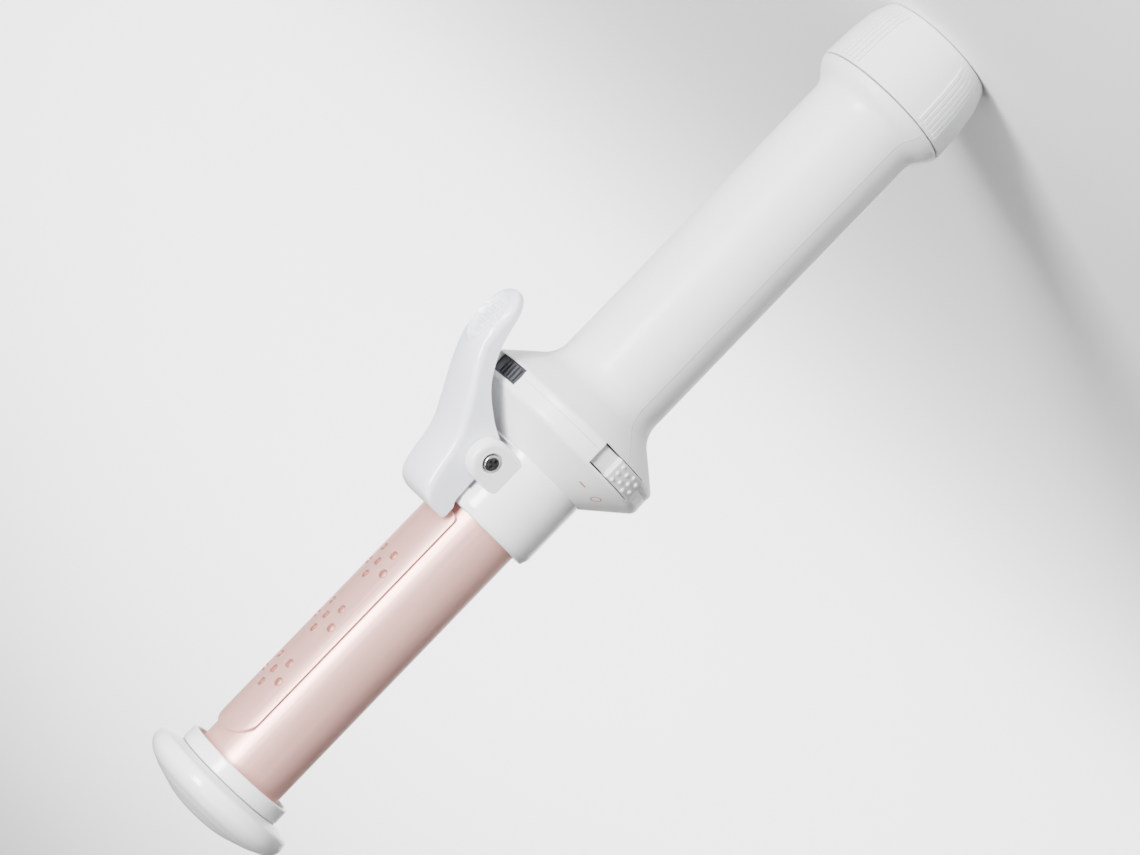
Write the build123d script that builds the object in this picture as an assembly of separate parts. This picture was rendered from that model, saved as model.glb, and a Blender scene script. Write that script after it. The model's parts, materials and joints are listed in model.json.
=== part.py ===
from build123d import *
import math
import os

# Cordless gas-heated curling iron, standing on its flat end cap.
# Millimetres. Z is the long axis, z = 0 is the flat face of the end cap, the
# heated barrel points to +Z, and the thumb lever and clamp are on the +X side.
# Angles named *_A are azimuths about Z in degrees, measured from +X.

os.makedirs("parts", exist_ok=True)

# ------------------------------------------------------------------ dimensions
# end cap
CAP_FACE_R = 15.5
CAP_RIM_R = 19.6
CAP_TOP_Z = 20.6
CAP_SLEEVE_R = 13.1
CAP_SLEEVE_WALL = 1.2
CAP_SLEEVE_TOP_Z = 28.0
CAP_RIB_H = 0.35
CAP_RIB_W = 0.9
CAP_RIB_STEP = 4.6          # degrees between ribs in a group
CAP_RIBS = 6                # ribs in each of the four groups
LUG_A = 30.0                # width of a bayonet lug, degrees
CAP_TURN = 45.0             # twist from locked to released

# handle
SEAM_A = -97.5              # parting plane of the two handle shells
HANDLE_R = 15.4
HANDLE_WALL = 1.8
HANDLE_Z0 = 20.9
RIM_Z = 135.5               # circumferential seam on the guard's rim
RIM_R = 26.6
HOUSING_TOP_Z = 148.7

# collar, ears and hinge
COLLAR_R = 15.8
COLLAR_TOP_Z = 169.0
COLLAR_BORE_R = 12.55
PIVOT_X = 17.0
PIVOT_Z = 156.1
EAR_IN_Y = 8.7
EAR_OUT_Y = 12.2
EAR_R = 5.7
POCKET_FLOOR_X = 13.4
PIVOT_SCREW_R = 1.5
PIVOT_FIT = 0.05            # running clearance of the screw shank in the ear
SLEEVE_R = 2.1

# barrel and tip
BARREL_R = 12.5
BARREL_WALL = 0.8
BARREL_Z0 = 150.5
BARREL_Z1 = 256.6
RING_R = 15.9
RING_IN_R = 14.9
RING_Z0 = 254.0
TIP_R = 21.8
TIP_Z0 = 258.55
TIP_Z1 = 270.5

# clamp
CLAMP_IN_R = 12.8
CLAMP_OUT_R = 13.6
CLAMP_HALF_A = 37.5
CLAMP_Z0 = 171.2
CLAMP_Z1 = 249.3
CLAMP_HOLE_R = 0.95
CLAMP_CLUSTER_Z = (192.6, 211.2, 229.8)
CLAMP_CLUSTER = ((0.0, 0.4), (0.0, 4.8), (13.0, -3.3), (-13.0, -3.3), (20.0, 1.8), (-20.0, 1.8))

# power slider
SW_A0 = -115.4              # window, first edge
SW_A1 = -77.3               # window, last edge
SW_Z0 = 132.9
SW_Z1 = 139.5
SW_THUMB_A0 = -115.0
SW_THUMB_A1 = -90.3
SW_TRAVEL = 12.0
# ignition slider
IG_A0 = -16.5
IG_A1 = 17.5
IG_Z0 = 133.6
IG_Z1 = 138.5
IG_KNOB_A0 = -15.6
IG_KNOB_A1 = 3.0
IG_TRAVEL = 13.0

# valve and gas path
STEM_R = 3.0
STEM_FIT = 0.05
STEM_TRAVEL = 1.2
CAM_PIN_R = 1.0
CAM_PIN_Z = 130.5
JET_BORE_R = 0.3


# --------------------------------------------------------------------- helpers
def corner_wire(pts, place):
    """Closed wire of straight runs with tangent arcs. A point is (a, b) or (a, b, radius)."""
    n = len(pts)
    spans = []
    for i in range(n):
        a, b = pts[i][0], pts[i][1]
        r = pts[i][2] if len(pts[i]) > 2 else 0.0
        pa, pb = pts[i - 1][0], pts[i - 1][1]
        na, nb = pts[(i + 1) % n][0], pts[(i + 1) % n][1]
        if r <= 0:
            spans.append(((a, b), None, (a, b)))
            continue
        ua, ub, la = pa - a, pb - b, math.hypot(pa - a, pb - b)
        va, vb, lb = na - a, nb - b, math.hypot(na - a, nb - b)
        ua, ub, va, vb = ua / la, ub / la, va / lb, vb / lb
        ang = math.acos(max(-1.0, min(1.0, ua * va + ub * vb)))
        if ang > math.pi - 0.02:
            spans.append(((a, b), None, (a, b)))
            continue
        t = min(r / math.tan(ang / 2), 0.48 * la, 0.48 * lb)
        rr = t * math.tan(ang / 2)
        wa, wb = ua + va, ub + vb
        wl = math.hypot(wa, wb)
        d = rr / math.sin(ang / 2) - rr
        spans.append((
            (a + ua * t, b + ub * t),
            (a + wa / wl * d, b + wb / wl * d),
            (a + va * t, b + vb * t),
        ))
    edges = []
    for i in range(n):
        p, q = spans[i - 1][2], spans[i][0]
        if math.hypot(p[0] - q[0], p[1] - q[1]) > 1e-6:
            edges.append(Edge.make_line(place(*p), place(*q)))
        if spans[i][1] is not None:
            edges.append(Edge.make_three_point_arc(place(*spans[i][0]), place(*spans[i][1]), place(*spans[i][2])))
    return Wire(edges)


def on_xz(a, b):
    return Vector(a, 0, b)


def lathe(pts, a0=0.0, sweep=360.0):
    """Turn an (r, z) outline about Z, starting at azimuth a0."""
    face = Face(corner_wire(pts, on_xz))
    if sweep >= 360:
        return Part() + revolve(face, Axis.Z)
    return Part() + Rot(0, 0, a0) * revolve(face, Axis.Z, sweep)


def ring(r0, r1, z0, z1):
    if r0 <= 0:
        return Part() + Pos(0, 0, (z0 + z1) / 2) * Cylinder(r1, z1 - z0)
    return lathe([(r0, z0), (r1, z0), (r1, z1), (r0, z1)])


def wedge(a0, a1, r0, r1, z0, z1):
    return lathe([(r0, z0), (r1, z0), (r1, z1), (r0, z1)], a0, a1 - a0)


def side_plate(pts, y0, y1):
    """Extrude an (x, z) outline from y0 to y1."""
    face = Face(corner_wire(pts, lambda a, b: Vector(a, y0, b)))
    return Part() + Solid.extrude(face, Vector(0, y1 - y0, 0))


def plan_plate(pts, x0, x1):
    """Extrude a (y, z) outline from x0 to x1."""
    face = Face(corner_wire(pts, lambda a, b: Vector(x0, a, b)))
    return Part() + Solid.extrude(face, Vector(x1 - x0, 0, 0))


def box(x0, x1, y0, y1, z0, z1):
    return Part() + Pos((x0 + x1) / 2, (y0 + y1) / 2, (z0 + z1) / 2) * Box(x1 - x0, y1 - y0, z1 - z0)


def rod_y(x, z, r, y0, y1):
    return Part() + Pos(x, (y0 + y1) / 2, z) * Rot(90, 0, 0) * Cylinder(r, y1 - y0)


def rod_x(y, z, r, x0, x1):
    return Part() + Pos((x0 + x1) / 2, y, z) * Rot(0, 90, 0) * Cylinder(r, x1 - x0)


def radial_rod(azimuth, z, r, r0, r1):
    return Rot(0, 0, azimuth) * rod_x(0, z, r, r0, r1)


def torus_z(major, minor, z):
    return Part() + Pos(0, 0, z) * Torus(major, minor)


def coil(radius, wire_r, height, turns):
    """Round wire wound on a helix about Z, from z = 0 to height."""
    path = Edge.make_helix(height / turns, height, radius)
    start = path @ 0
    head = Plane(origin=start, z_dir=path % 0)
    section = Face(Wire.make_circle(wire_r, head))
    return Part() + Solid.sweep(section, Wire([path]), is_frenet=True)


written = []


def keep(name, shape):
    solids = shape.solids()
    body = solids[0] if len(solids) == 1 else Compound(solids)
    export_step(body, "parts/" + name + ".step")
    written.append((name, len(solids), round(shape.volume, 2)))


# --------------------------------------------------------------------- end cap
cap_profile = [
    (0, 0), (CAP_FACE_R + 0.7, 0, 1.3), (18.2, 5.0, 14), (19.2, 12.0, 30), (CAP_RIM_R, CAP_TOP_Z, 0.4),
    (17.4, CAP_TOP_Z), (17.0, 12.0), (16.2, 5.0, 3), (15.2, 2.5),
    (CAP_SLEEVE_R, 2.5), (CAP_SLEEVE_R, CAP_SLEEVE_TOP_Z, 0.4),
    (CAP_SLEEVE_R - CAP_SLEEVE_WALL, CAP_SLEEVE_TOP_Z), (CAP_SLEEVE_R - CAP_SLEEVE_WALL, 2.5), (0, 2.5),
]
end_cap = lathe(cap_profile)
rib = side_plate(
    [(15.4, 1.6), (16.9, 1.6), (18.2 + CAP_RIB_H, 5.0), (19.2 + CAP_RIB_H, 12.0), (CAP_RIM_R + CAP_RIB_H - 0.02, 19.6), (18.9, 20.2), (18.0, 12.0), (17.0, 5.0)],
    -CAP_RIB_W / 2, CAP_RIB_W / 2,
)
for group in range(4):
    for k in range(CAP_RIBS):
        turn = SEAM_A + 90 * group + (k - (CAP_RIBS - 1) / 2) * CAP_RIB_STEP
        end_cap = end_cap + Rot(0, 0, turn) * rib
for k in range(3):
    end_cap = end_cap + wedge(20 + 120 * k - LUG_A / 2, 20 + 120 * k + LUG_A / 2, CAP_SLEEVE_R - 0.3, 15.6, 23.05, 24.5)
keep("end_cap", end_cap)

# the spring that holds the cartridge forward
cap_spring = Pos(0, 0, 3.1) * coil(8.0, 0.5, 8.2, 3.5)
keep("cap_spring", cap_spring)

# ring in the handle mouth that the cap's lugs lock behind
bayonet_ring = ring(13.4, 17.0, 21.4, 22.8)
for k in range(3):
    mid = 20 + 120 * k + CAP_TURN
    bayonet_ring = bayonet_ring - wedge(mid - LUG_A / 2 - 2, mid + LUG_A / 2 + 2, 12.0, 15.9, 21.0, 23.0)
keep("bayonet_ring", bayonet_ring)

# ------------------------------------------------------------- gas cartridge
gas_cartridge = lathe([
    (0, 13.4, 0), (8.0, 12.6, 3), (9.4, 11.9, 0.6), (10.9, 12.6, 0.8), (10.9, 95.0, 4), (6.0, 99.4, 0.8), (6.0, 103.0),
    (5.0, 103.0), (5.0, 99.0, 0.8), (10.4, 94.6, 3), (10.4, 13.4, 0.6), (9.4, 12.7), (8.0, 13.3, 3), (0, 14.1),
])
keep("gas_cartridge", gas_cartridge)
cartridge_valve = lathe([
    (0.6, 100.5), (4.9, 100.5), (4.9, 103.1), (6.1, 103.1), (6.1, 100.6), (7.0, 100.6),
    (7.0, 104.2, 0.5), (1.7, 104.2), (1.7, 107.0), (0.6, 107.0),
])
keep("cartridge_valve", cartridge_valve)
keep("cartridge_seal", torus_z(2.6, 0.8, 105.4))

# ------------------------------------------------------------------ handle
handle_profile = [
    (16.2, HANDLE_Z0), (19.7, HANDLE_Z0, 0.5), (18.4, 23.6, 4), (HANDLE_R, 26.9, 5),
    (HANDLE_R, 123.6, 9), (21.3, 128.6, 16), (RIM_R + 0.35, 133.6, 2.2), (RIM_R, RIM_Z),
    (24.8, RIM_Z), (24.8, 134.1, 1), (20.2, 130.2, 16), (HANDLE_R - HANDLE_WALL, 124.9, 9), (HANDLE_R - HANDLE_WALL, 24.8), (16.2, 24.8),
]
handle_skin = lathe(handle_profile)
handle_skin = handle_skin - ring(16.0, 17.0, 21.4, 22.8)            # groove for the bayonet ring
for k in range(3):                                                    # stops that end the cap's twist
    mid = 20 + 120 * k
    handle_skin = handle_skin + wedge(mid - LUG_A / 2 - 6, mid - LUG_A / 2 - 2, 15.0, 16.4, 23.0, 24.9)
groove_sw = wedge(SW_THUMB_A0 - 17, SW_A1 + 18, 20.0, 25.6, 133.1, 139.3)
window_sw = wedge(SW_A0, SW_A1, 20.0, 30.0, SW_Z0, SW_Z1)
groove_ig = wedge(IG_A0 - 4, IG_A1 + 17, 20.0, 25.6, 133.1, 139.0)
window_ig = wedge(IG_A0, IG_A1, 20.0, 30.0, IG_Z0, IG_Z1)
front_housing = lathe([
    (24.8, RIM_Z), (RIM_R, RIM_Z), (RIM_R + 0.25, 139.7, 2.4), (COLLAR_R + 0.1, HOUSING_TOP_Z, 0.4), (15.05, HOUSING_TOP_Z),
    (15.05, 147.0), (24.5, 139.3, 1),
])
for cutter in (groove_sw, window_sw, groove_ig, window_ig):
    handle_skin = handle_skin - cutter
    front_housing = front_housing - cutter

half = Rot(0, 0, SEAM_A) * box(-60, 60, 0, 60, 0, 160)
half_other = Rot(0, 0, SEAM_A) * box(-60, 60, -60, 0, 0, 160)
shell_front = handle_skin & half                  # the half on the lever side
shell_rear = handle_skin & half_other
keep("handle_shell_front", shell_front)
keep("handle_shell_rear", shell_rear)
keep("front_housing", front_housing)

# ------------------------------------------------------------------ collar
collar = lathe([
    (COLLAR_BORE_R, 142.0), (17.3, 142.0, 0.3), (17.3, 144.4), (15.0, 144.4), (15.0, HOUSING_TOP_Z), (COLLAR_R, HOUSING_TOP_Z),
    (COLLAR_R, 166.8, 3), (14.9, COLLAR_TOP_Z, 0.8), (COLLAR_BORE_R, COLLAR_TOP_Z),
])
ear_outline = [
    (7.0, PIVOT_Z - EAR_R), (PIVOT_X + EAR_R, PIVOT_Z - EAR_R, EAR_R - 0.05),
    (PIVOT_X + EAR_R, PIVOT_Z + EAR_R, EAR_R - 0.05), (7.0, PIVOT_Z + EAR_R),
]
for sign in (1, -1):
    y0, y1 = (EAR_IN_Y, EAR_OUT_Y) if sign > 0 else (-EAR_OUT_Y, -EAR_IN_Y)
    ear = side_plate(ear_outline, y0, y1)
    outer = [e for e in ear.edges() if abs(abs(e.center().Y) - EAR_OUT_Y) < 1e-3 and e.center().X > 8]
    ear = Part() + fillet(outer, 1.5)
    collar = collar + ear
    collar = collar - rod_y(PIVOT_X, PIVOT_Z, PIVOT_SCREW_R + PIVOT_FIT, y0 - 1, y1 + 1)
    collar = collar - rod_y(PIVOT_X, PIVOT_Z, 2.75, sign * 11.2 if sign > 0 else -13.2, 13.2 if sign > 0 else -11.2)
collar = collar - ring(0, COLLAR_BORE_R, 140, 171)
collar = collar - box(POCKET_FLOOR_X, 30, -EAR_IN_Y, EAR_IN_Y, 149.3, 164.2)
keep("collar", collar)

# insulating bush between the hot barrel and the collar
insulating_bush = lathe([
    (8.05, 144.6), (12.5, 144.6), (12.5, 150.4), (11.6, 150.4), (11.6, 163.0, 0.5), (6.6, 163.0), (6.6, 156.6), (8.05, 156.6),
])
for k in range(4):
    insulating_bush = insulating_bush - Rot(0, 0, 30 + 90 * k) * (Pos(9.2, 0, 154) * Cylinder(0.9, 24))
keep("insulating_bush", insulating_bush)

# ------------------------------------------------------------- gas valve group
valve_guide = lathe([
    (3.5, 104.5), (7.4, 104.5, 0.4), (7.4, 108.0), (13.5, 108.0, 0.3), (13.5, 111.0, 0.3), (5.5, 111.0), (5.5, 138.0),
    (STEM_R + STEM_FIT, 138.0), (STEM_R + STEM_FIT, 107.5), (3.5, 107.5),
])
valve_guide = valve_guide - box(-8, 8, -CAM_PIN_R - 0.15, CAM_PIN_R + 0.15, 127.6, 140)
keep("valve_guide", valve_guide)
valve_tube = lathe([
    (0.7, 108.5), (STEM_R, 108.5, 0.3), (STEM_R, 145.2), (5.0, 145.2), (5.0, 146.2), (STEM_R, 146.2), (STEM_R, 151.4, 0.3), (0.7, 151.4),
])
for turn in (0, 180):
    valve_tube = valve_tube - radial_rod(turn, CAM_PIN_Z, CAM_PIN_R, 1.5, 4.0)
keep("valve_tube", valve_tube)
stem_pins = radial_rod(0, CAM_PIN_Z, CAM_PIN_R, 1.5, 8.0) + radial_rod(180, CAM_PIN_Z, CAM_PIN_R, 1.5, 8.0)
keep("stem_pins", stem_pins)
valve_spring = Pos(0, 0, 138.5) * coil(4.1, 0.35, 6.2, 4)
keep("valve_spring", valve_spring)

ARM_A = (SW_THUMB_A0 + SW_THUMB_A1) / 2
cam_ring = ring(5.6, 8.3, 126.0, 135.0)
STEPS = 9
for turn in (0, 180):
    for i in range(STEPS):
        s = -0.12 + 1.24 * i / (STEPS - 1)
        cam_ring = cam_ring - radial_rod(turn - s * SW_TRAVEL, CAM_PIN_Z - s * STEM_TRAVEL, CAM_PIN_R + 0.15, 4.0, 10.0)
arm = Rot(0, 0, ARM_A) * box(7.6, 20.6, -1.5, 1.5, 133.2, 135.0)
cam_ring = cam_ring + arm

power_slider = wedge(SW_THUMB_A0, SW_THUMB_A1, 24.0, 27.0, 133.2, 139.2)
power_slider = Part() + fillet([e for e in power_slider.edges() if math.hypot(e.center().X, e.center().Y) > 26.2 and e.length > 3], 0.4)
power_slider = power_slider + wedge(SW_THUMB_A0 - 14, SW_A1 + 3.2, 24.2, 25.3, 133.4, 139.0)
power_slider = power_slider + Rot(0, 0, ARM_A) * (box(20.6, 24.6, -2.6, 2.6, 133.5, 137.5) - box(17.5, 22.6, -1.55, 1.55, 133.0, 135.2))
for i, column in enumerate((-8.0, -2.6, 2.8, 8.2)):
    rows = (-1.9, 0.15, 2.2) if i % 2 else (-1.1, 1.3)
    for row in rows:
        power_slider = power_slider + Rot(0, 0, ARM_A + column) * (Pos(26.75, 0, 136.2 + row) * Sphere(0.72))
cam_arm_end = Rot(0, 0, ARM_A) * box(20.6, 22.5, -1.5, 1.5, 133.2, 135.0)
cam_ring = cam_ring + cam_arm_end
keep("cam_ring", cam_ring)
keep("power_slider", power_slider)

# leaf that clicks into the slider's underside
detent_spring = Rot(0, 0, SW_THUMB_A0 - 9) * (box(23.3, 23.6, -3.6, 3.6, 133.6, 138.4) + box(21.9, 23.6, -3.6, 3.6, 133.3, 133.6))
keep("detent_spring", detent_spring)

# ------------------------------------------------------- ignition slider group
ignition_slider = wedge(IG_KNOB_A0, IG_KNOB_A1, 24.0, 26.3, 133.9, 138.2)
ignition_slider = ignition_slider + wedge(IG_A0 - 1.0, IG_A1 + 1.5, 24.2, 25.3, 133.4, 138.7)
for k in range(5):
    a = IG_KNOB_A0 + 2.6 + 3.4 * k
    ignition_slider = ignition_slider + wedge(a - 0.75, a + 0.75, 26.0, 26.9, 134.2, 137.9)
IG_LUG_A = IG_KNOB_A0 + 4.0
ignition_slider = ignition_slider + Rot(0, 0, IG_LUG_A) * box(10.6, 24.6, -0.8, 0.8, 134.4, 137.6)
keep("ignition_slider", ignition_slider)

# piezo striker lies along a chord beside the slider's lug, at right angles to its radius
PIEZO_R = 13.0
STRIKER_R = 1.25
piezo_frame = Rot(0, 0, IG_LUG_A)
piezo_igniter = piezo_frame * (box(PIEZO_R - 2.2, PIEZO_R + 2.2, 8.6, 17.6, 133.4, 138.4) - rod_y(PIEZO_R, 136.0, STRIKER_R + 0.05, 8.0, 15.0))
keep("piezo_igniter", piezo_igniter)
piezo_plunger = piezo_frame * (rod_y(PIEZO_R, 136.0, STRIKER_R, 1.2, 10.6) + rod_y(PIEZO_R, 136.0, 2.1, 1.2, 1.9))
keep("piezo_plunger", piezo_plunger)
ignition_spring = piezo_frame * (Pos(PIEZO_R, 2.3, 136.0) * Rot(-90, 0, 0) * coil(1.75, 0.22, 5.9, 5))
keep("ignition_spring", ignition_spring)
# insulated lead from the striker's top, through the bush, to the spark electrode
LEAD_R = 0.6
LEAD_RUN_A = 30.0
ignition_lead = Rot(0, 0, LEAD_RUN_A) * (Pos(9.2, 0, 152.7) * Cylinder(LEAD_R, 23.8))
ignition_lead = ignition_lead + Rot(0, 0, LEAD_RUN_A) * rod_x(0, 140.8, LEAD_R, 9.2, 19.0) + Rot(0, 0, LEAD_RUN_A) * (Pos(18.6, 0, 139.6) * Cylinder(LEAD_R, 2.2))
keep("ignition_lead", ignition_lead)

# ---------------------------------------------------------------- burner group
jet_holder = lathe([
    (STEM_R + STEM_FIT, 147.2), (8.0, 147.2, 0.3), (8.0, 154.0, 0.3), (2.05, 154.0), (2.05, 152.4), (STEM_R + STEM_FIT, 152.4),
    (STEM_R + STEM_FIT, 150.2), (4.25, 150.2), (4.25, 148.8), (STEM_R + STEM_FIT, 148.8),
])
keep("jet_holder", jet_holder)
keep("stem_seal", torus_z(3.66, 0.56, 149.5))
jet_nozzle = lathe([(JET_BORE_R, 152.5), (2.0, 152.5), (2.0, 154.0), (3.3, 154.0), (3.3, 157.0, 0.3), (1.2, 158.6), (JET_BORE_R, 158.6)])
keep("jet_nozzle", jet_nozzle)
mixing_tube = lathe([(4.2, 154.1), (7.9, 154.1), (7.9, 155.4), (5.0, 155.4), (5.0, 178.0), (4.2, 178.0)])
for k in range(2):
    mixing_tube = mixing_tube - Rot(0, 0, 90 * k + 45) * rod_x(0, 159.4, 1.2, -7, 7)
keep("mixing_tube", mixing_tube)
catalyst_burner = ring(0, 7.8, 172.0, 244.0) - ring(0, 5.05, 171.0, 178.2)
for k in range(6):
    catalyst_burner = catalyst_burner - Rot(0, 0, 60 * k) * (Pos(4.0, 0, 211) * Cylinder(1.0, 68))
catalyst_burner = catalyst_burner - ring(0, 1.2, 177.0, 245.0)
keep("catalyst_burner", catalyst_burner)
heat_core = ring(7.9, 11.65, 170.0, 247.0) + ring(0, 8.2, 244.4, 247.0)
heat_core = heat_core - ring(0, 1.55, 244.0, 248.0)
for k in range(6):
    heat_core = heat_core - Rot(0, 0, 60 * k + 30) * box(10.2, 13.0, -1.2, 1.2, 169.0, 248.0)
for k in range(6):
    heat_core = heat_core - Rot(0, 0, 60 * k) * (Pos(4.0, 0, 245.7) * Cylinder(1.0, 4))
keep("heat_core", heat_core)
# spark electrode, bent in towards the burner's mouth
electrode = Rot(0, 0, LEAD_RUN_A) * (Pos(9.2, 0, 166.4) * Cylinder(0.45, 3.6) + rod_x(0, 167.75, 0.45, 6.0, 9.2))
keep("electrode", electrode)

# ---------------------------------------------------------------------- barrel
barrel = ring(BARREL_R - BARREL_WALL, BARREL_R, BARREL_Z0, BARREL_Z1)
for k in range(4):
    barrel = barrel - Rot(0, 0, 45 * k) * rod_x(0, 255.2, 0.9, -15, 15)
keep("barrel", barrel)
tip_plug = lathe([(1.7, 248.2), (9.4, 248.2, 0.5), (9.4, BARREL_Z1), (12.4, BARREL_Z1), (12.4, 257.15), (1.7, 257.15)])
for k in range(3):
    tip_plug = tip_plug + Rot(0, 0, 22.5 + 120 * k) * box(9.0, 11.6, -0.9, 0.9, 249.0, 256.7)
keep("tip_plug", tip_plug)
tip_ring = lathe([
    (RING_IN_R, RING_Z0, 0.5), (RING_R, RING_Z0, 0.6), (RING_R, 258.4, 0.3), (13.5, 258.4), (13.5, 261.0, 0.3), (12.5, 261.0), (12.5, 258.4),
    (1.7, 258.4), (1.7, 257.2), (RING_IN_R, 257.2),
])
keep("tip_ring", tip_ring)
tip_screw = ring(0, 1.5, 244.7, 258.5) + lathe([(0, 258.4), (3.0, 258.4), (3.0, 259.6, 0.9), (0, 260.3)])
tip_screw = tip_screw - box(-0.35, 0.35, -2.0, 2.0, 259.5, 261) - box(-2.0, 2.0, -0.35, 0.35, 259.5, 261)
keep("tip_screw", tip_screw)
tip_cap = lathe([
    (13.6, TIP_Z0), (17.0, TIP_Z0, 1.5), (21.2, 259.7, 1.2), (TIP_R + 0.15, 263.0, 3.0), (20.0, 265.6, 6), (15.6, 267.6, 10), (7.6, 270.2, 24), (0, TIP_Z1),
    (0, 268.4), (7.2, 268.0, 20), (13.6, 265.6, 3),
])
keep("tip_cap", tip_cap)

# ------------------------------------------------------------- lever and clamp
lever_side = [
    (13.75, 174.0, 0.6), (21.4, 174.6, 2.6), (24.9, 169.6, 9), (26.6, 160.0, 22), (30.3, 153.1, 30), (36.4, 143.6, 14), (40.3, 137.2, 9),
    (40.8, 127.5, 10), (39.9, 120.9, 1.9), (37.6, 121.2, 1.2), (36.9, 127.2, 20), (35.3, 132.9, 20), (32.8, 138.6, 20), (28.4, 144.0, 14),
    (24.0, 147.4, 14), (19.4, 150.3, 6), (15.0, 151.4, 2.0), (13.75, 154.6, 2.2), (13.75, 158.6, 2.4), (15.2, 162.2, 1.0), (14.95, 168.9, 0.5), (13.75, 170.0, 0.3),
]
lever_plan = [
    (-6.4, 120.0, 6.3), (6.4, 120.0, 6.3), (6.5, 135.0, 30), (8.0, 147.0, 20), (8.3, 163.4), (8.5, 176.0), (-8.5, 176.0), (-8.3, 163.4), (-8.0, 147.0, 20), (-6.5, 135.0, 30),
]
lever = side_plate(lever_side, -10, 10) & plan_plate(lever_plan, 8, 45)
hollow_side = [
    (8.0, 172.3), (20.3, 172.3, 1.0), (22.9, 168.6, 7), (24.4, 159.6, 20), (28.4, 151.8, 28), (34.4, 142.6, 12), (38.1, 136.0, 8),
    (38.6, 127.5), (36.0, 127.5), (33.0, 134.0), (24.0, 142.0), (8.0, 147.0),
]
hollow_plan = [
    (-4.3, 126.0, 3), (4.3, 126.0, 3), (4.5, 135.0), (5.9, 147.0), (6.2, 163.4), (6.4, 178.0), (-6.4, 178.0), (-6.2, 163.4), (-5.9, 147.0), (-4.5, 135.0),
]
lever = lever - (side_plate(hollow_side, -10, 10) & plan_plate(hollow_plan, 6, 42))
lever = lever - rod_y(PIVOT_X, PIVOT_Z, SLEEVE_R, -12, 12)
RIVET_Z = (164.6, 168.6)
for z in RIVET_Z:                                          # posts that the clamp's tang is riveted to
    lever = lever + rod_x(0, z, 2.2, 18.1, 24.0)
    lever = lever - rod_x(0, z, 1.1, 17.0, 21.0)
keep_pad_z, keep_pad_y = 6.6, 4.7
PAD_Z = 130.6
pad_cut = Part() + Pos(40.75, 0, PAD_Z) * Rot(0, 90, 0) * extrude(Ellipse(keep_pad_z, keep_pad_y), 0.7, both=True)
lever = lever - pad_cut
for i in range(6):
    z = PAD_Z + (i - 2.5) * 2.0
    span = keep_pad_y * math.sqrt(max(0.0, 1 - ((z - PAD_Z) / (keep_pad_z - 0.5)) ** 2)) - 0.7
    count = max(2, int(span / 0.95) + 1)
    for j in range(count):
        y = -span + 2 * span * j / (count - 1)
        lever = lever + rod_x(y, z, 0.5, 39.5, 40.6)
keep("thumb_lever", lever)

pivot_sleeve = rod_y(PIVOT_X, PIVOT_Z, SLEEVE_R, -8.2, 8.2) - rod_y(PIVOT_X, PIVOT_Z, PIVOT_SCREW_R, -9, 9)
keep("pivot_sleeve", pivot_sleeve)
pivot_screws = Part()
for sign in (1, -1):
    shank = rod_y(PIVOT_X, PIVOT_Z, PIVOT_SCREW_R, 4.2 if sign > 0 else -11.4, 11.4 if sign > 0 else -4.2)
    head = rod_y(PIVOT_X, PIVOT_Z, 2.25, 11.35 if sign > 0 else -12.65, 12.65 if sign > 0 else -11.35)
    rim = [e for e in head.edges() if abs(abs(e.center().Y) - 12.65) < 1e-3]
    head = Part() + fillet(rim, 0.7)
    cross = box(PIVOT_X - 0.32, PIVOT_X + 0.32, sign * 12.3 - 0.6, sign * 12.3 + 0.6, PIVOT_Z - 1.3, PIVOT_Z + 1.3)
    cross = cross + box(PIVOT_X - 1.3, PIVOT_X + 1.3, sign * 12.3 - 0.6, sign * 12.3 + 0.6, PIVOT_Z - 0.32, PIVOT_Z + 0.32)
    pivot_screws = pivot_screws + ((shank + head) - cross)
keep("pivot_screws", pivot_screws)

clamp_band = wedge(-CLAMP_HALF_A, CLAMP_HALF_A, CLAMP_IN_R, CLAMP_OUT_R, CLAMP_Z0, CLAMP_Z1)
clamp_plan = plan_plate([
    (-8.35, CLAMP_Z0, 2.4), (8.35, CLAMP_Z0, 2.4), (8.35, CLAMP_Z1, 7.6), (-8.35, CLAMP_Z1, 7.6),
], 5, 20)
clamp = clamp_band & clamp_plan
for z in CLAMP_CLUSTER_Z:
    for a, dz in CLAMP_CLUSTER:
        clamp = clamp - radial_rod(a, z + dz, CLAMP_HOLE_R, 10, 16)
clamp = clamp + box(13.0, 18.0, -4.5, 4.5, CLAMP_Z0, 172.0) + box(17.2, 18.0, -4.5, 4.5, 161.5, 172.0)
for z in RIVET_Z:
    clamp = clamp - rod_x(0, z, 1.1, 16.0, 19.0)
keep("clamp_plate", clamp)
clamp_rivets = Part()
for z in RIVET_Z:
    clamp_rivets = clamp_rivets + (rod_x(0, z, 1.1, 16.9, 20.8) + rod_x(0, z, 1.9, 16.65, 17.2))
keep("clamp_rivets", clamp_rivets)

torsion_coil = Pos(PIVOT_X, -2.6, PIVOT_Z) * Rot(-90, 0, 0) * coil(2.66, 0.36, 5.2, 6)
keep("torsion_spring", torsion_coil)

for row in written:
    print(*row)
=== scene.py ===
import json
import math

import bmesh
import bpy
from mathutils import Matrix, Vector


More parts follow.
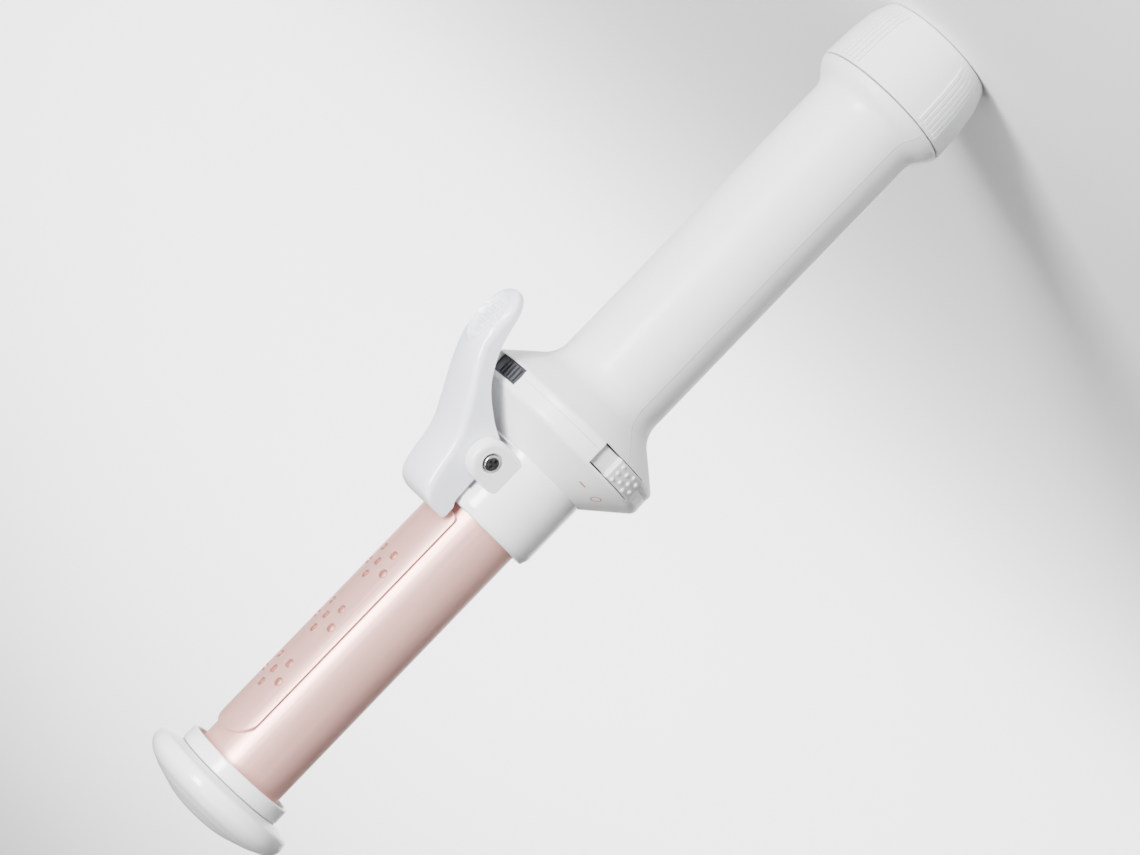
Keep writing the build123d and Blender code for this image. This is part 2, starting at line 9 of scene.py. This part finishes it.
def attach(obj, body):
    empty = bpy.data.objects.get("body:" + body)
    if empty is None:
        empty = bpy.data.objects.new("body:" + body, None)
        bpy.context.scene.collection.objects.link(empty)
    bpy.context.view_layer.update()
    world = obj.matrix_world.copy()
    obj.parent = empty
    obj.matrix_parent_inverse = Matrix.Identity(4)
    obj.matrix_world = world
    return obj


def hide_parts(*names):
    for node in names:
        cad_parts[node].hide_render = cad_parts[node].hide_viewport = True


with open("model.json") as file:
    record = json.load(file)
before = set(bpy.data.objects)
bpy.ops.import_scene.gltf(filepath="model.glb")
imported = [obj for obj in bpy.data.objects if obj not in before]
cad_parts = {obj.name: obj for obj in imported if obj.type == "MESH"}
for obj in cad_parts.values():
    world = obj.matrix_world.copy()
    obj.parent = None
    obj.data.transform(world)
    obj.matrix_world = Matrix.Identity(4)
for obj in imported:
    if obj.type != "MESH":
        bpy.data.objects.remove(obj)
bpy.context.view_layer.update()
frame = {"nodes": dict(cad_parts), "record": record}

NODES = frame["nodes"]
MM = 0.001
SEAM_A = -97.5


# ------------------------------------------------------------------ materials
def new_mat(name):
    m = bpy.data.materials.new(name)
    m.use_nodes = True
    nt = m.node_tree
    for n in list(nt.nodes):
        nt.nodes.remove(n)
    out = nt.nodes.new("ShaderNodeOutputMaterial")
    bsdf = nt.nodes.new("ShaderNodeBsdfPrincipled")
    nt.links.new(bsdf.outputs["BSDF"], out.inputs["Surface"])
    return m, nt, bsdf


def noise(nt, scale, detail=3.0, stretch=(1, 1, 1), rough=0.5):
    tc = nt.nodes.new("ShaderNodeTexCoord")
    mp = nt.nodes.new("ShaderNodeMapping")
    mp.inputs["Scale"].default_value = stretch
    nt.links.new(tc.outputs["Object"], mp.inputs["Vector"])
    nz = nt.nodes.new("ShaderNodeTexNoise")
    nz.inputs["Scale"].default_value = scale
    nz.inputs["Detail"].default_value = detail
    nz.inputs["Roughness"].default_value = rough
    nt.links.new(mp.outputs["Vector"], nz.inputs["Vector"])
    return nz


def ramp(nt, src, lo, hi, p0=0.35, p1=0.65):
    cr = nt.nodes.new("ShaderNodeValToRGB")
    cr.color_ramp.elements[0].position = p0
    cr.color_ramp.elements[1].position = p1
    cr.color_ramp.elements[0].color = (*lo, 1)
    cr.color_ramp.elements[1].color = (*hi, 1)
    nt.links.new(src, cr.inputs["Fac"])
    return cr


def span(nt, src, a, b):
    mr = nt.nodes.new("ShaderNodeMapRange")
    mr.inputs["From Min"].default_value = 0.3
    mr.inputs["From Max"].default_value = 0.7
    mr.inputs["To Min"].default_value = a
    mr.inputs["To Max"].default_value = b
    nt.links.new(src, mr.inputs["Value"])
    return mr


def bump(nt, bsdf, src, strength, dist):
    b = nt.nodes.new("ShaderNodeBump")
    b.inputs["Strength"].default_value = strength
    b.inputs["Distance"].default_value = dist
    nt.links.new(src, b.inputs["Height"])
    nt.links.new(b.outputs["Normal"], bsdf.inputs["Normal"])


def moulded(name, color, rough, coat=0.0, grain=900.0, grain_depth=0.00002, vary=0.018, spec=0.5, sss=0.0):
    """Moulded plastic: slow colour drift, fine grain in the roughness and the surface."""
    m, nt, b = new_mat(name)
    slow = noise(nt, 22.0, 2.0)
    lo = tuple(max(0, c * (1 - vary)) for c in color)
    hi = tuple(min(1, c * (1 + vary)) for c in color)
    nt.links.new(ramp(nt, slow.outputs["Fac"], lo, hi).outputs["Color"], b.inputs["Base Color"])
    fine = noise(nt, grain, 4.0, rough=0.6)
    nt.links.new(span(nt, fine.outputs["Fac"], rough - 0.04, rough + 0.05).outputs["Result"], b.inputs["Roughness"])
    bump(nt, b, fine.outputs["Fac"], 0.18, grain_depth)
    b.inputs["Coat Weight"].default_value = coat
    b.inputs["Coat Roughness"].default_value = 0.08
    b.inputs["Specular IOR Level"].default_value = spec
    return m


def metal(name, color, rough, metallic=1.0, stretch=(1, 1, 0.03), scale=900.0, depth=0.00001, vary=0.03, aniso=0.0):
    """Drawn or anodised metal: streaks along the draw direction."""
    m, nt, b = new_mat(name)
    streak = noise(nt, scale, 3.0, stretch)
    lo = tuple(max(0, c * (1 - vary)) for c in color)
    hi = tuple(min(1, c * (1 + vary)) for c in color)
    nt.links.new(ramp(nt, streak.outputs["Fac"], lo, hi).outputs["Color"], b.inputs["Base Color"])
    nt.links.new(span(nt, streak.outputs["Fac"], rough - 0.04, rough + 0.05).outputs["Result"], b.inputs["Roughness"])
    bump(nt, b, streak.outputs["Fac"], 0.12, depth)
    b.inputs["Metallic"].default_value = metallic
    b.inputs["Anisotropic"].default_value = aniso
    return m


MAT = {
    "white_satin": moulded("white_satin", (0.80, 0.80, 0.80), 0.36, coat=0.10),
    "white_gloss": moulded("white_gloss", (0.84, 0.845, 0.855), 0.20, coat=0.35, grain=500.0, grain_depth=0.00001),
    "white_lever": moulded("white_lever", (0.80, 0.82, 0.865), 0.22, coat=0.30, grain=500.0, grain_depth=0.00001),
    "white_cap": moulded("white_cap", (0.78, 0.795, 0.80), 0.42),
    "slider_white": moulded("slider_white", (0.66, 0.665, 0.66), 0.30, coat=0.2),
    "dark_plastic": moulded("dark_plastic", (0.045, 0.046, 0.052), 0.42, vary=0.12, grain_depth=0.00003),
    "mech_plastic": moulded("mech_plastic", (0.45, 0.47, 0.50), 0.45),
    "piezo": moulded("piezo", (0.04, 0.05, 0.13), 0.35, vary=0.08),
    # recess: near-black plastic laid in the screw slots as painted shade
    "recess": moulded("recess", (0.012, 0.012, 0.012), 0.7, vary=0.1),
    "rubber": moulded("rubber", (0.02, 0.02, 0.02), 0.6, vary=0.1),
    "ceramic": moulded("ceramic", (0.62, 0.58, 0.50), 0.65, vary=0.05, grain=1500.0, grain_depth=0.00005),
    "seam": moulded("seam", (0.42, 0.42, 0.41), 0.6, vary=0.05),
    "print_pink": moulded("print_pink", (0.50, 0.13, 0.12), 0.55, vary=0.06, grain=2500.0),
    "rose_metal": metal("rose_metal", (0.84, 0.475, 0.42), 0.36, metallic=0.45, vary=0.02),
    "rose_clamp": metal("rose_clamp", (0.84, 0.47, 0.415), 0.32, metallic=0.5, vary=0.02),
    # rose_rim: clamp metal darkened to about half, painted shade for the clamp hole edges and walls
    "rose_rim": metal("rose_rim", (0.42, 0.20, 0.165), 0.40, metallic=0.5, vary=0.04),
    "chrome": metal("chrome", (0.46, 0.46, 0.47), 0.14, stretch=(1, 1, 1), scale=300.0, vary=0.06),
    "steel": metal("steel", (0.45, 0.45, 0.47), 0.32),
    "aluminium": metal("aluminium", (0.60, 0.61, 0.63), 0.36),
    "brass": metal("brass", (0.66, 0.48, 0.19), 0.30),
}
SLOT_OF = {s["node"]: s["material_slot"] for s in frame["record"]["subparts"]}


def dress(obj, mat):
    obj.data.materials.clear()
    obj.data.materials.append(MAT[mat])


for name, obj in NODES.items():
    dress(obj, SLOT_OF[name])


# --------------------------------------------------------------- mesh helpers
def finish_mesh(name, bm, mat, body, sharp=38.0):
    bmesh.ops.remove_doubles(bm, verts=bm.verts, dist=1e-7)
    bmesh.ops.recalc_face_normals(bm, faces=bm.faces)
    for f in bm.faces:
        f.smooth = True
    for e in bm.edges:
        if len(e.link_faces) == 2 and e.calc_face_angle(0.0) > math.radians(sharp):
            e.smooth = False
    me = bpy.data.meshes.new(name)
    bm.to_mesh(me)
    bm.free()
    ob = bpy.data.objects.new(name, me)
    bpy.context.scene.collection.objects.link(ob)
    ob.data.materials.append(MAT[mat])
    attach(ob, body)
    return ob


def interp(table, t):
    """Smooth monotone reading of (key, value) rows sorted by key."""
    if t <= table[0][0]:
        return table[0][1]
    if t >= table[-1][0]:
        return table[-1][1]
    for i in range(len(table) - 1):
        if table[i][0] <= t <= table[i + 1][0]:
            k0, v0 = table[i]
            k1, v1 = table[i + 1]
            h = k1 - k0
            d = (v1 - v0) / h
            def slope(j):
                if j <= 0 or j >= len(table) - 1:
                    jj = max(0, min(len(table) - 2, j if j <= 0 else j - 1))
                    return (table[jj + 1][1] - table[jj][1]) / (table[jj + 1][0] - table[jj][0])
                a = (table[j][1] - table[j - 1][1]) / (table[j][0] - table[j - 1][0])
                b = (table[j + 1][1] - table[j][1]) / (table[j + 1][0] - table[j][0])
                return 0.0 if a * b <= 0 else 2 * a * b / (a + b)
            m0, m1 = slope(i), slope(i + 1)
            s = (t - k0) / h
            return ((2 * s**3 - 3 * s**2 + 1) * v0 + (s**3 - 2 * s**2 + s) * h * m0
                    + (-2 * s**3 + 3 * s**2) * v1 + (s**3 - s**2) * h * m1)
    return table[-1][1]


def pol(a, r, z):
    return Vector((r * math.cos(math.radians(a)) * MM, r * math.sin(math.radians(a)) * MM, z * MM))


def add_dome(bm, at, out, r, h, segs=14, rings=5):
    """Low rounded bump standing on a surface; its foot sinks a little into it."""
    out = out.normalized()
    side = out.cross(Vector((0, 0, 1)))
    if side.length < 0.1:
        side = out.cross(Vector((1, 0, 0)))
    side.normalize()
    up = out.cross(side)
    loops = []
    for k in range(rings + 1):
        q = math.pi / 2 * k / rings
        rr, hh = r * math.cos(q), h * math.sin(q)
        if k == rings:
            loops.append([bm.verts.new(at + out * hh)])
        else:
            loops.append([bm.verts.new(at + out * hh + side * (rr * math.cos(2 * math.pi * i / segs)) + up * (rr * math.sin(2 * math.pi * i / segs))) for i in range(segs)])
    foot = [bm.verts.new(v.co - out * 0.0004) for v in loops[0]]
    for i in range(segs):
        j = (i + 1) % segs
        bm.faces.new((foot[i], foot[j], loops[0][j], loops[0][i]))
        for k in range(rings - 1):
            bm.faces.new((loops[k][i], loops[k][j], loops[k + 1][j], loops[k + 1][i]))
        bm.faces.new((loops[rings - 1][i], loops[rings - 1][j], loops[rings][0]))
    bm.faces.new(list(reversed(foot)))


def surface_hit(node, a, z):
    """Radius where a level ray from outside meets a CAD node, in millimetres."""
    ob = NODES[node]
    start = pol(a, 60, z)
    ok, at, nor, _ = ob.ray_cast(start, (Vector((0, 0, z * MM)) - start).normalized())
    return (math.hypot(at.x, at.y) / MM, nor) if ok else (None, None)


# --------------------------------------------------------------- thumb lever
# heights are x above the barrel's axis, in millimetres, along z
LEVER_TOP = [(120.95, 39.3), (122.2, 40.1), (125, 40.62), (131, 40.75), (135.5, 40.35), (138.5, 39.3), (142, 37.35), (147.5, 33.7), (153.1, 30.1), (157, 27.9), (161, 26.5), (166, 25.6), (169.4, 24.8), (171.4, 24.0), (173.0, 22.7), (174.0, 21.1), (174.4, 20.0)]
LEVER_BOT = [(120.95, 38.1), (123, 37.75), (127.2, 36.9), (132.9, 35.3), (138.6, 32.6), (142, 30.35), (144.6, 27.75), (147.0, 24.4), (148.6, 21.8), (149.8, 19.2), (151.0, 16.4), (152.6, 14.6), (154.6, 14.1), (158.4, 13.9), (160.4, 14.4), (162.4, 15.1), (165, 15.05), (168.4, 14.95), (169.6, 14.5), (170.6, 13.85), (174.4, 13.8)]
LEVER_HALF = [(127.3, 6.35), (135, 6.45), (141, 7.1), (147, 8.0), (152, 8.25), (163.4, 8.3), (168, 8.45), (174.4, 8.45)]
PAD_Z, PAD_A, PAD_B, PAD_DEEP = 130.4, 7.2, 5.0, 0.95


def lever_piece():
    bm = bmesh.new()
    zs = []
    z = 120.98
    while z < 174.38:
        zs.append(z)
        z += 0.10 if z < 122 else (0.30 if z < 138.2 else (0.6 if z < 148 else (0.45 if z < 172.6 else 0.15)))
    zs.append(174.4)
    NT, NC, NS = 33, 7, 5
    outer = []
    for z in zs:
        xt, xb, w = interp(LEVER_TOP, z), interp(LEVER_BOT, z), interp(LEVER_HALF, z)
        if z < 127.3:
            w = 6.35 * math.sqrt(max(0.0004, 1 - ((127.3 - z) / 6.36) ** 2))
        if z > 172.9:                                  # the end block's rounded front
            q = min(1.0, (z - 172.9) / 1.5)
            inset = 1.5 * (1 - math.sqrt(max(0.0, 1 - q * q)))
            w -= inset
            xt -= 0.3 * inset
        rc = min(2.3, 0.46 * w, 0.48 * (xt - xb))
        crown = min(0.45, 0.07 * w)
        pts = []
        for i in range(NS):                            # side wall, going up
            pts.append((-w, xb + (xt - crown - rc - xb) * i / NS))
        for i in range(NC):
            a = math.pi - math.pi / 2 * i / NC
            pts.append((-w + rc + rc * math.cos(a), xt - crown - rc + rc * math.sin(a)))
        for i in range(NT):
            y = -(w - rc) + 2 * (w - rc) * i / (NT - 1)
            pts.append((y, xt - crown * (y / max(w - rc, 0.01)) ** 2))
        right = [(-y, x) for y, x in pts[: NS + NC]]
        pts = pts + list(reversed(right))
        row = []
        for y, x in pts:
            e = math.hypot((z - PAD_Z) / PAD_A, y / PAD_B)
            if e < 1.12 and x > xt - 1.2:
                rim = math.exp(-((e - 1.03) / 0.075) ** 2) * 0.28
                dip = PAD_DEEP * (1 - min(1.0, max(0.0, (e - 0.84) / 0.15)) ** 2 * (3 - 2 * min(1.0, max(0.0, (e - 0.84) / 0.15)))) if e < 0.99 else 0.0
                x = x - dip + rim
            row.append(bm.verts.new((x * MM, y * MM, z * MM)))
        outer.append(row)
    n = len(outer[0])
    for a, b in zip(outer[:-1], outer[1:]):
        for i in range(n - 1):
            bm.faces.new((a[i], a[i + 1], b[i + 1], b[i]))
    # hollow underside between the end wall and the pad
    i0 = next(i for i, z in enumerate(zs) if z > 128.6)
    i1 = max(i for i, z in enumerate(zs) if z < 172.4)
    inner = {}
    for k in range(i0, i1 + 1):
        z = zs[k]
        xt, xb, w = interp(LEVER_TOP, z), interp(LEVER_BOT, z), interp(LEVER_HALF, z)
        wi = w - 2.05
        top = max(xt - 2.3, xb + 0.15)
        rc = min(1.2, 0.45 * (top - xb))
        row = []
        for i in range(4):
            row.append((-wi, xb + (top - rc - xb) * i / 4))
        for i in range(4):
            a = math.pi - math.pi / 2 * i / 4
            row.append((-wi + rc + rc * math.cos(a), top - rc + rc * math.sin(a)))
        row = row + [(0.0, top)] + [(-y, x) for y, x in reversed(row)]
        inner[k] = [bm.verts.new((x * MM, y * MM, z * MM)) for y, x in row]
    m = len(inner[i0])
    for k in range(i0, i1):
        a, b = inner[k], inner[k + 1]
        for i in range(m - 1):
            bm.faces.new((a[i + 1], a[i], b[i], b[i + 1]))
        bm.faces.new((outer[k][0], outer[k + 1][0], b[0], a[0]))
        bm.faces.new((outer[k + 1][-1], outer[k][-1], a[-1], b[-1]))
    bm.faces.new(list(reversed(inner[i0])))
    bm.faces.new(inner[i1])
    for k in range(0, i0):
        if k + 1 < i0 + 1:
            bm.faces.new((outer[k][0], outer[k + 1][0], outer[k + 1][-1], outer[k][-1])) if k + 1 < i0 else None
    bm.faces.new((outer[i0 - 1][0], outer[i0][0], inner[i0][0], inner[i0][-1], outer[i0][-1], outer[i0 - 1][-1]))
    for k in range(i1 + 1, len(zs) - 1):
        bm.faces.new((outer[k][0], outer[k + 1][0], outer[k + 1][-1], outer[k][-1]))
    bm.faces.new((outer[i1 + 1][-1], outer[i1][-1], inner[i1][-1], inner[i1][0], outer[i1][0], outer[i1 + 1][0]))
    bm.faces.new(list(reversed(outer[0])))
    bm.faces.new(outer[-1])
    return finish_mesh("lever_moulding", bm, "white_lever", "clamp", sharp=48)


lever = lever_piece()
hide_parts("thumb_lever")

bm = bmesh.new()
for i in range(6):
    z = PAD_Z + (i - 2.5) * 2.05
    half = PAD_B * math.sqrt(max(0.0, 1 - ((z - PAD_Z) / (PAD_A - 0.7)) ** 2)) - 1.15
    count = (3, 4, 5, 5, 4, 3)[i]
    for j in range(count):
        y = -half + 2 * half * j / (count - 1)
        x = interp(LEVER_TOP, z) - PAD_DEEP - 0.45 * (y / 4.1) ** 2
        add_dome(bm, Vector((x * MM, y * MM, z * MM)), Vector((1, 0, 0)), 0.56 * MM, 0.78 * MM)
finish_mesh("lever_pad_bumps", bm, "white_lever", "clamp", sharp=70)


# --------------------------------------------------------------- clamp holes: rims coloured darker rose, painted shade round the hole edges and down their walls
def ring_rim(bm, a, z, r_hole, r_rim, surface, proud, segs=24):
    """Pressed rim round a hole in the clamp plate, lying on its curved face."""
    prof = [(r_hole - 0.02, -0.5), (r_hole, 0.0), (r_hole + 0.10, proud), (0.5 * (r_hole + r_rim), proud * 1.05), (r_rim - 0.12, proud * 0.6), (r_rim, -0.03), (r_rim - 0.02, -0.5)]
    loops = []
    for i in range(segs):
        q = 2 * math.pi * i / segs
        row = []
        for rr, h in prof:
            da = math.degrees(rr * math.cos(q) / surface)
            row.append(bm.verts.new(pol(a + da, surface + h, z + rr * math.sin(q))))
        loops.append(row)
    for i in range(segs):
        p, q = loops[i], loops[(i + 1) % segs]
        for k in range(len(prof)):
            j = (k + 1) % len(prof)
            bm.faces.new((p[k], q[k], q[j], p[j]))


CLUSTER_Z = (192.6, 211.2, 229.8)
CLUSTER = ((0.0, 0.4), (0.0, 4.8), (13.0, -3.3), (-13.0, -3.3), (20.0, 1.8), (-20.0, 1.8))
bm = bmesh.new()
for cz in CLUSTER_Z:
    for a, dz in CLUSTER:
        ring_rim(bm, a, cz + dz, 0.955, 1.30, 13.6, 0.09)
finish_mesh("clamp_hole_rims_painted_shade", bm, "rose_rim", "clamp", sharp=80)
dress(NODES["clamp_plate"], "rose_clamp")

dress(NODES["power_slider"], "slider_white")

# --------------------------------------------------------------- screw recess: near-black cross prisms sunk in the screw slots, painted shade inside the slots
PX, PZ = 17.0, 156.1
for tag, sign in (("near", -1), ("far", 1)):
    bm = bmesh.new()
    w, l = 0.30, 1.27
    outline = [(w, w), (w * 0.8, l), (-w * 0.8, l), (-w, w), (-l, w * 0.8), (-l, -w * 0.8), (-w, -w), (-w * 0.8, -l), (w * 0.8, -l), (w, -w), (l, -w * 0.8), (l, w * 0.8)]
    low = [bm.verts.new(((PX + a) * MM, sign * 11.8 * MM, (PZ + b) * MM)) for a, b in outline]
    high = [bm.verts.new(((PX + a) * MM, sign * 12.22 * MM, (PZ + b) * MM)) for a, b in outline]
    bm.faces.new(low)
    bm.faces.new(list(reversed(high)))
    for i in range(12):
        bm.faces.new((low[i], low[(i + 1) % 12], high[(i + 1) % 12], high[i]))
    finish_mesh("screw_slot_painted_shade_" + tag, bm, "recess", "clamp")

# --------------------------------------------------------------- seams and marks
def skin_r(z):
    """Outer radius of the handle and guard."""
    return interp([(20.9, 19.65), (21.6, 19.55), (23.6, 18.3), (25.2, 16.9), (26.9, 15.75), (28.6, 15.4), (121.0, 15.4), (123.0, 15.65), (125.1, 16.9), (128.6, 21.1), (131.0, 23.85), (132.9, 25.9)], z)


def cone_r(z):
    return 26.2 + (COL_R - 26.2) * (z - 140.2) / (148.7 - 140.2)


COL_R = 15.8


def ribbon(name, path, width, mat, body, lift=0.012):
    """Thin flat strip over a row of surface points: (azimuth, z, radius, across vector)."""
    bm = bmesh.new()
    rows = []
    for a, z, r, across in path:
        c = pol(a, r + lift, z)
        low = pol(a, r - 0.05, z)
        d = across.normalized() * (width / 2 * MM)
        rows.append([bm.verts.new(low - d), bm.verts.new(c - d), bm.verts.new(c + d), bm.verts.new(low + d)])
    for p, q in zip(rows[:-1], rows[1:]):
        for i in range(4):
            bm.faces.new((p[i], q[i], q[(i + 1) % 4], p[(i + 1) % 4]))
    bm.faces.new(list(reversed(rows[0])))
    bm.faces.new(rows[-1])
    return finish_mesh(name, bm, mat, body)


tang = Vector((-math.sin(math.radians(SEAM_A)), math.cos(math.radians(SEAM_A)), 0))
for tag, az in (("near", SEAM_A), ("far", SEAM_A + 180)):
    path = []
    z = 21.1
    while z <= 132.6:
        r, _ = surface_hit("handle_shell_front", az + 0.15, z)
        if r:
            path.append((az, z, r, tang))
        z += 0.25 if (z < 29 or z > 120) else 2.0
    ribbon("parting_line_" + tag, path, 0.16, "seam", "handle")
path = []
for k in range(0, 361, 2):
    a = -75.5 + k * (360 - 43.5) / 360
    if -18 < a < 19:
        continue
    path.append((a, 135.5))
for tag, part in (("a", [p for p in path if p[0] < -17]), ("b", [p for p in path if p[0] > 18])):
    rows = []
    for a, z in part:
        r, _ = surface_hit("front_housing", a, z + 0.05)
        if r:
            rows.append((a, z, r, Vector((0, 0, 1))))
    if len(rows) > 2:
        ribbon("rim_seam_" + tag, rows, 0.13, "seam", "handle")


def mark_strip(name, pts_az, width, closed=False):
    """Printed mark on the guard's front cone. Points are (azimuth, z)."""
    bm = bmesh.new()
    rows = []
    count = len(pts_az)
    for i, (a, z) in enumerate(pts_az):
        a2, z2 = pts_az[(i + 1) % count] if (closed or i < count - 1) else pts_az[i]
        a1, z1 = pts_az[i - 1] if (closed or i > 0) else pts_az[i]
        r, nor = surface_hit("front_housing", a, z)
        c = pol(a, r, z)
        along = (pol(a2, r, z2) - pol(a1, r, z1)).normalized()
        side = nor.cross(along).normalized() * (width / 2 * MM)
        up = nor.normalized() * 0.02 * MM
        rows.append([bm.verts.new(c - side - up * 2), bm.verts.new(c - side + up), bm.verts.new(c + side + up), bm.verts.new(c + side - up * 2)])
    pairs = list(zip(rows, rows[1:] + rows[:1])) if closed else list(zip(rows[:-1], rows[1:]))
    for p, q in pairs:
        for i in range(4):
            bm.faces.new((p[i], q[i], q[(i + 1) % 4], p[(i + 1) % 4]))
    if not closed:
        bm.faces.new(list(reversed(rows[0])))
        bm.faces.new(rows[-1])
    return finish_mesh(name, bm, "print_pink", "handle", sharp=80)


mark_strip("mark_on", [(-88.0 - i * 1.1, 144.2) for i in range(7)], 0.52)
mark_strip("mark_off", [(-110.5 + 3.5 * math.cos(math.radians(q)), 144.3 + 0.85 * math.sin(math.radians(q))) for q in range(0, 360, 15)], 0.30, closed=True)

# --------------------------------------------------------------- floor, light, camera
T = Vector((math.cos(math.radians(57)), -math.sin(math.radians(57)), 0))   # towards the viewer
N = Vector((-math.sin(math.radians(57)), -math.cos(math.radians(57)), 0))  # away from the lever side

bm = bmesh.new()
rows = []
for i in range(60):
    s = i / 59
    if s < 0.45:
        d, h = -3.0 + 4.0 * (s / 0.45), 0.0
    else:
        q = (s - 0.45) / 0.55
        ang = min(1.0, q * 1.6) * math.pi / 2
        d = 1.0 + 2.0 * math.sin(ang)
        h = 2.0 * (1 - math.cos(ang)) + max(0.0, q * 1.6 - 1) * 5
    rows.append([bm.verts.new(-T * d + N * w + Vector((0, 0, h - 0.0002))) for w in (-6, -2, 2, 6)])
for a, b in zip(rows[:-1], rows[1:]):
    for i in range(3):
        bm.faces.new((a[i], a[i + 1], b[i + 1], b[i]))
bmesh.ops.recalc_face_normals(bm, faces=bm.faces)
for f in bm.faces:
    f.smooth = True
me = bpy.data.meshes.new("backdrop")
bm.to_mesh(me)
bm.free()
floor = bpy.data.objects.new("backdrop", me)
bpy.context.scene.collection.objects.link(floor)
fm, nt, fb = new_mat("paper")
nz = noise(nt, 3.0, 2.0)
nt.links.new(ramp(nt, nz.outputs["Fac"], (0.93, 0.93, 0.93), (0.95, 0.95, 0.95)).outputs["Color"], fb.inputs["Base Color"])
fb.inputs["Roughness"].default_value = 0.9
fb.inputs["Specular IOR Level"].default_value = 0.1
floor.data.materials.append(fm)

world = bpy.data.worlds.new("studio")
bpy.context.scene.world = world
world.use_nodes = True
world.node_tree.nodes["Background"].inputs["Color"].default_value = (1, 1, 1, 1)
world.node_tree.nodes["Background"].inputs["Strength"].default_value = 0.12

AIM = Vector((0, 0, 0.1351))
KEY, SWEEP, PAPER = 36.0, 3.5, 1150.0


def area(name, at, power, sx, sy, target=AIM, color=(1, 1, 1)):
    ld = bpy.data.lights.new(name, "AREA")
    ld.shape = "RECTANGLE"
    ld.size, ld.size_y = sx, sy
    ld.energy = power
    ld.color = color
    ob = bpy.data.objects.new(name, ld)
    back = (at - target).normalized()
    side = Vector((0, 0, 1)).cross(back).normalized()
    up = back.cross(side)
    m = Matrix((side, up, back)).transposed().to_4x4()
    m.translation = at
    ob.matrix_world = m
    bpy.context.scene.collection.objects.link(ob)
    return ob


area("key", AIM + T * 0.78 - N * 0.46 + Vector((0, 0, 0.12)), KEY, 0.22, 0.75)
area("sweep", AIM + T * 0.60 - N * 0.10 + Vector((0, 0, 0.85)), SWEEP, 0.4, 0.4)


def spot(name, at, target, power, angle):
    ld = bpy.data.lights.new(name, "SPOT")
    ld.energy = power
    ld.spot_size = math.radians(angle)
    ld.spot_blend = 1.0
    ld.shadow_soft_size = 0.3
    ob = bpy.data.objects.new(name, ld)
    back = (at - target).normalized()
    side = Vector((0, 0, 1)).cross(back).normalized()
    m = Matrix((side, back.cross(side), back)).transposed().to_4x4()
    m.translation = at
    ob.matrix_world = m
    bpy.context.scene.collection.objects.link(ob)


spot("paper_light", -T * 1.25 + Vector((0, 0, 2.6)), -T * 1.5, PAPER, 62)

cam_data = bpy.data.cameras.new("camera")
cam_data.sensor_width = 36
cam_data.lens = 108
cam = bpy.data.objects.new("camera", cam_data)
ELEV = math.radians(3.5)
back = (T * math.cos(ELEV) + Vector((0, 0, 1)) * math.sin(ELEV)).normalized()
zup = (Vector((0, 0, 1)) - back * back.z).normalized()
nn = zup.cross(back).normalized() * -1
roll_c, roll_s = 0.695, 0.719
right = (-zup * roll_c + nn * roll_s).normalized()
up = back.cross(right).normalized()
m = Matrix((right, up, back)).transposed().to_4x4()
m.translation = AIM + back * 0.866
cam.matrix_world = m
bpy.context.scene.collection.objects.link(cam)
bpy.context.scene.camera = cam
